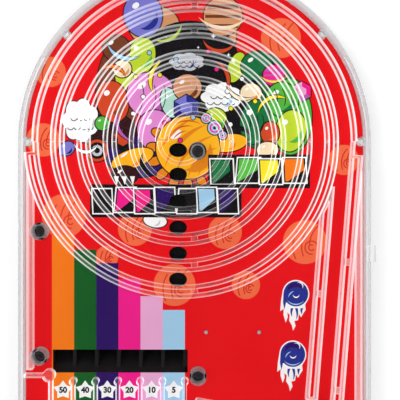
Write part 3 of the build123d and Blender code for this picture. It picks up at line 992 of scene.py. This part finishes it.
    def draw_comet(self, x: float, y: float) -> None:
        """A blue ball with a swirl and a white tail of flames.

        Args:
            x, y: The ball's middle.
        """
        art = self.art
        tail = (
            (-5.3, 0.6), (-5.9, -3), (-6.2, -6.9), (-4.8, -5.9), (-4.9, -8.4), (-4, -11.4),
            (-3.2, -9.2), (-3.4, -7.4), (-2.4, -8.4), (-2.7, -10.6), (-1.6, -12.4), (-1.1, -14.6),
            (-0.1, -12.6), (-0.6, -10.8), (0.9, -10.4), (1.2, -8), (2.1, -9.3), (3, -7.6),
            (3.9, -6.4), (3.7, -4.4), (5.3, -0.6), (0, 3),
        )
        art.add([(x + u, y + v) for u, v in tail], Ink.WHITE)
        art.add(ellipse(x, y, 5.35, 5.5), Ink.WHITE)
        art.add(ellipse(x, y, 4.9, 5), Ink.ROYAL)
        left = ((-4.9, 0.4), (-5.1, -3.4), (-4.5, -6.2), (-3.9, -3.4), (-2.6, -3.6))
        art.add([(x + u, y + v) for u, v in left], Ink.ROYAL)
        for shift, length, sway in ((-1.5, 3.4, -0.3), (0.2, 4.6, 0.35), (2.4, 2.4, -0.2)):
            art.add(flame(x + shift, y - 5.7, 1.1, length, sway), Ink.ROYAL)
        art.add(band(x - 0.2, y + 0.6, 3, 1.9, 20, 175, taper=True), Ink.NAVY)
        art.add(band(x + 1.3, y + 3, 1.5, 0.45, -40, 120, taper=True), Ink.WHITE)
        art.add(band(x + 0.1, y - 0.1, 1.3, 0.5, 190, 350, taper=True), Ink.WHITE)
        art.add(band(x + 0.2, y - 2, 3.2, 0.4, 105, 170, taper=True), Ink.SKY)
        art.add(band(x, y, 4.2, 0.45, 215, 320, taper=True), Ink.SKY)


@dataclass
class PrintedSheet:
    """The print as one thin sheet on the card, cut where the card has holes."""

    art: Artwork
    finishes: Finishes
    lift: float = 0.004
    thickness: float = 0.016
    same_point: float = 1e-4

    def rims(self) -> list[Outline]:
        """The card's outer rim and its holes, read from the edges of its top face.

        Returns:
            The outline of the card and of each hole, in millimetres.
        """
        shape = cad_copy("printed_card", SAME_POINT)
        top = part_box("printed_card")[1].z
        rims = {
            edge
            for edge in shape.edges
            if all(abs(v.co.z - top) < SAME_POINT for v in edge.verts)
            and any(abs(f.normal.z) < 0.5 for f in edge.link_faces)
        }
        loops = []
        while rims:
            edge = rims.pop()
            start, vert = edge.verts
            loop = [start, vert]
            while vert is not start:
                edge = next((e for e in vert.link_edges if e in rims), None)
                if edge is None:
                    break
                rims.discard(edge)
                vert = edge.other_vert(vert)
                loop.append(vert)
            loops.append([(v.co.x / MM, v.co.y / MM) for v in loop[:-1]])
        shape.free()
        return loops

    def build(self) -> bpy.types.Object:
        """Divides the card among the inks and gives the print its thickness.

        Returns:
            The printed sheet's piece.
        """
        loops = sorted(self.rims(), key=lambda loop: -abs(area(loop)))
        shapes, shape_inks = zip(*self.art.shapes)
        outlines = [o if area(o) > 0 else o[::-1] for o in (*shapes, *loops)]
        points, faces = [], []
        for outline in outlines:
            faces.append(list(range(len(points), len(points) + len(outline))))
            points += [Vector(p) for p in outline]
        all_triangles, keep_owners = 0, True
        found = delaunay_2d_cdt(points, [], faces, all_triangles, self.same_point, keep_owners)
        verts, _, triangles, _, _, owners = found
        card, first_hole = len(shapes), len(shapes) + 1
        inks = list(dict.fromkeys(shape_inks))
        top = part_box("printed_card")[1].z + self.lift * MM
        shape = bmesh.new()
        made = {}
        for triangle, owner in zip(triangles, owners):
            over = [i for i in owner if i < card]
            if not over or card not in owner or any(i >= first_hole for i in owner):
                continue
            corners = []
            for i in triangle:
                if i not in made:
                    made[i] = shape.verts.new((verts[i].x * MM, verts[i].y * MM, top))
                corners.append(made[i])
            face = shape.faces.new(corners)
            face.material_index = inks.index(shape_inks[max(over)])
        bmesh.ops.recalc_face_normals(shape, faces=shape.faces)
        for face in shape.faces:
            if face.normal.z < 0:
                face.normal_flip()
        base = bmesh.ops.extrude_face_region(shape, geom=list(shape.faces), use_keep_orig=True)
        raised = [v for v in base["geom"] if isinstance(v, bmesh.types.BMVert)]
        bmesh.ops.translate(shape, verts=raised, vec=(0, 0, self.thickness * MM))
        bmesh.ops.recalc_face_normals(shape, faces=shape.faces)
        materials = [self.finishes.ink(ink) for ink in inks]
        return new_piece("card_print", shape, materials, "case")


def area(outline: Outline) -> float:
    """The area inside an outline, negative where it runs clockwise."""
    pairs = zip(outline, outline[1:] + outline[:1])
    return sum(a[0] * b[1] - b[0] * a[1] for a, b in pairs) / 2


@dataclass
class ScoreNumbers:
    """The score numbers, printed in the middle of their stars."""

    card: CardArt
    height: float = 3.1
    boldness: float = 0.045
    lift: float = 0.020
    thickness: float = 0.010
    scores: tuple[str, ...] = ("50", "40", "30", "20", "10", "5")

    def build(self, material: bpy.types.Material) -> bpy.types.Object:
        """Sets each number as a thin mesh.

        Args:
            material: The numbers' ink.

        Returns:
            The numbers' piece.
        """
        shape = bmesh.new()
        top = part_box("printed_card")[1].z + self.lift * MM
        for i, score in enumerate(self.scores):
            curve = bpy.data.curves.new(f"score_{score}", "FONT")
            curve.body = score
            curve.align_x, curve.align_y = "CENTER", "CENTER"
            curve.size = self.height
            curve.offset = self.height * self.boldness
            curve.extrude = self.thickness / 2
            text = bpy.data.objects.new(curve.name, curve)
            bpy.context.scene.collection.objects.link(text)
            mesh = bpy.data.meshes.new_from_object(text)
            x = self.card.column_left + (i + 0.5) * self.card.column_pitch
            place = Matrix.Translation((x * MM, self.card.star_y * MM, top))
            mesh.transform(place @ Matrix.Scale(MM, 4))
            shape.from_mesh(mesh)
            bpy.data.objects.remove(text)
            bpy.data.curves.remove(curve)
            bpy.data.meshes.remove(mesh)
        bmesh.ops.remove_doubles(shape, verts=shape.verts, dist=SAME_POINT)
        bmesh.ops.recalc_face_normals(shape, faces=shape.faces)
        return new_piece("card_numbers", shape, [material], "case")


@dataclass
class Playfield:
    """The card with its print, and the black mouldings under it."""

    finishes: Finishes

    def build(self) -> None:
        """Dresses the card, the deck and the chutes."""
        dress("printed_card", self.finishes.ink(Ink.RED))
        for node in ("playfield_deck", "chute_tray", "chute_ribs"):
            dress(node, self.finishes["black"])
        card = CardArt()
        PrintedSheet(card.draw(), self.finishes).build()
        ScoreNumbers(card).build(self.finishes.ink(Ink.BLACK))


@dataclass
class ClearParts:
    """The case's two clear shells and the clear walls on the card."""

    finishes: Finishes
    track: tuple[str, ...] = ("spiral_track", "arch_guide", "pocket_dividers", "return_guide")
    walls: tuple[str, ...] = (
        "left_side_rib", "right_side_rib", "lane_inner_wall", "lane_outer_wall",
        "plunger_housing", "pocket_floor",
    )

    def build(self) -> None:
        """Rounds the walls' edges and dresses the shells."""
        for node in self.track:
            RoundedMoulding(node).build(self.finishes["track"], "clear_track")
        for node in self.walls:
            RoundedMoulding(node).build(self.finishes["wall"], "clear_track")
        for node in ("rear_shell", "front_cover"):
            dress(node, self.finishes["case"])


class CoilSpring:
    """The plunger's spring, which shortens between the case and the plunger."""

    def build(self, finish: bpy.types.Material) -> bpy.types.Object:
        """Copies the spring as one piece that rides on neither body, and hides the CAD spring.

        Args:
            finish: The spring's material.

        Returns:
            The spring's piece.
        """
        shape = cad_copy("plunger_spring")
        piece = new_piece("plunger_coil", shape, [finish], None, 60.0)
        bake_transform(piece)
        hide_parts("plunger_spring")
        return piece


@dataclass
class RibbedKnob:
    """The plunger's pull knob, with grip grooves round its barrel."""

    profile: tuple[Point, ...] = (
        (0.0, 0.0), (3.5, 0.0), (3.55, 2.0), (5.85, 4.1), (5.95, 5.0),
        (5.95, 12.6), (5.6, 13.5), (4.8, 13.95), (3.2, 13.6), (0.0, 13.5),
    )
    grooves: int = 24
    groove_depth: float = 0.35
    groove_margin: float = 0.12
    groove_low: float = 5.1
    groove_high: float = 12.5

    def build(self, finish: bpy.types.Material) -> bpy.types.Object:
        """Turns the profile, sinks the grooves and sets the knob on the rod.

        Args:
            finish: The knob's material.

        Returns:
            The knob's piece.
        """
        shape = bmesh.new()
        verts = [shape.verts.new((r * MM, 0, z * MM)) for r, z in self.profile]
        edges = [shape.edges.new(pair) for pair in zip(verts, verts[1:])]
        bmesh.ops.spin(
            shape, geom=[*verts, *edges], cent=(0, 0, 0), axis=(0, 0, 1),
            angle=2 * math.pi, steps=2 * self.grooves,
        )
        bmesh.ops.remove_doubles(shape, verts=shape.verts, dist=SAME_POINT)
        bmesh.ops.recalc_face_normals(shape, faces=shape.faces)
        step = math.pi / self.grooves
        barrel = []
        for face in shape.faces:
            centre = face.calc_center_median()
            turn = math.atan2(centre.y, centre.x) % (2 * math.pi)
            on_barrel = self.groove_low * MM < centre.z < self.groove_high * MM
            if on_barrel and int(turn / step) % 2:
                barrel.append(face)
        margin, depth = self.groove_margin * MM, -self.groove_depth * MM
        bmesh.ops.inset_individual(shape, faces=barrel, thickness=margin, depth=depth)
        low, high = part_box("plunger_knob")
        tilt = Matrix.Rotation(math.radians(-LANE_TILT), 4, "Z")
        turn = Matrix.Rotation(math.radians(90), 4, "X")
        length = max(z for _, z in self.profile)
        middle = Matrix.Translation((0, 0, -length * MM / 2))
        shape.transform(Matrix.Translation((low + high) / 2) @ tilt @ turn @ middle)
        piece = new_piece("plunger_knob_ribbed", shape, [finish], "plunger")
        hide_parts("plunger_knob")
        return piece


@dataclass
class Hardware:
    """Screws, pins, balls and the plunger."""

    finishes: Finishes

    def build(self) -> None:
        """Dresses every metal and moving part."""
        plan = {
            "case_screws": "screw",
            "card_pins": "bright",
            "plunger_rod": "bright",
            "spring_washer": "bright",
            "stop_collar": "bright",
            "plunger_tip": "nylon",
            "plunger_bushing": "nylon",
        }
        for node, finish in plan.items():
            dress(node, self.finishes[finish])
        for node in sorted(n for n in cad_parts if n.startswith("ball_")):
            dress(node, self.finishes["ball"])
        CoilSpring().build(self.finishes["spring"])
        RibbedKnob().build(self.finishes["knob"])


@dataclass(frozen=True)
class SoftLight:
    """A square soft light: its place and size in metres and its power in watts."""

    name: str
    place: Triple
    size: float
    power: float


@dataclass
class Studio:
    """A pale floor, soft lights and a camera that looks down on the game."""

    look_at: Vector = field(default_factory=lambda: Vector((2.2, 19.0, 10.4)) * MM)
    distance: float = 400.0
    view_width: float = 158.6
    sensor: float = 36.0
    floor_size: float = 3.0
    floor_drop: float = 0.2
    floor_glow: float = 0.2
    sky_strength: float = 0.60
    see_through: int = 40
    lights: tuple[SoftLight, ...] = (
        SoftLight("left_softbox", (-0.7, 0.3, 0.75), 0.5, 4.2),
        SoftLight("right_softbox", (0.8, -0.1, 0.7), 0.4, 2.9),
    )

    def build(self) -> None:
        """Sets the whole studio."""
        self.set_floor()
        self.set_lights()
        self.set_camera()

    def set_floor(self) -> None:
        """A plain pale floor just under the game."""
        shape = bmesh.new()
        bmesh.ops.create_grid(shape, x_segments=1, y_segments=1, size=self.floor_size)
        bmesh.ops.translate(shape, verts=shape.verts, vec=(0, 0, -self.floor_drop * MM))
        mesh = bpy.data.meshes.new("floor")
        shape.to_mesh(mesh)
        shape.free()
        tree = ShaderTree("floor_paper")
        tree.set(
            Base_Color=(1.0, 1.0, 1.0),
            Roughness=0.9,
            Emission_Color=(1.0, 1.0, 1.0),
            Emission_Strength=self.floor_glow,
        )
        mesh.materials.append(tree.material)
        floor = bpy.data.objects.new("floor", mesh)
        bpy.context.scene.collection.objects.link(floor)

    def add_light(self, plan: SoftLight) -> None:
        """Sets up one soft light, aimed at the game.

        Args:
            plan: The light's sizes.
        """
        light = bpy.data.lights.new(plan.name, "AREA")
        light.shape = "SQUARE"
        light.size = plan.size
        light.energy = plan.power
        lamp = bpy.data.objects.new(plan.name, light)
        lamp.location = plan.place
        towards_game = Vector((0, 0, 0)) - Vector(plan.place)
        lamp.rotation_euler = towards_game.to_track_quat("-Z", "Y").to_euler()
        bpy.context.scene.collection.objects.link(lamp)

    def set_lights(self) -> None:
        """A pale sky and the soft lights, with enough bounces to see through every wall."""
        scene = bpy.context.scene
        world = bpy.data.worlds.new("pale_sky")
        world.use_nodes = True
        sky = world.node_tree.nodes["Background"]
        sky.inputs["Color"].default_value = (1.0, 1.0, 1.0, 1.0)
        sky.inputs["Strength"].default_value = self.sky_strength
        scene.world = world
        scene.view_settings.view_transform = "Standard"
        scene.cycles.transparent_max_bounces = self.see_through
        for plan in self.lights:
            self.add_light(plan)

    def set_camera(self) -> None:
        """The camera, looking straight down on the playfield."""
        data = bpy.data.cameras.new("camera")
        data.sensor_width = self.sensor
        data.lens = self.sensor * self.distance / self.view_width
        data.clip_start, data.clip_end = 0.01, 20.0
        camera = bpy.data.objects.new("camera", data)
        camera.location = self.look_at + Vector((0, 0, self.distance * MM))
        bpy.context.scene.collection.objects.link(camera)
        bpy.context.scene.camera = camera


def main() -> None:
    """Builds the finished game in order."""
    logging.basicConfig(level=logging.INFO, format="%(message)s")
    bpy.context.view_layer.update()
    finishes = Finishes()
    Playfield(finishes).build()
    ClearParts(finishes).build()
    Hardware(finishes).build()
    Studio().build()


if __name__ == "__main__":
    main()
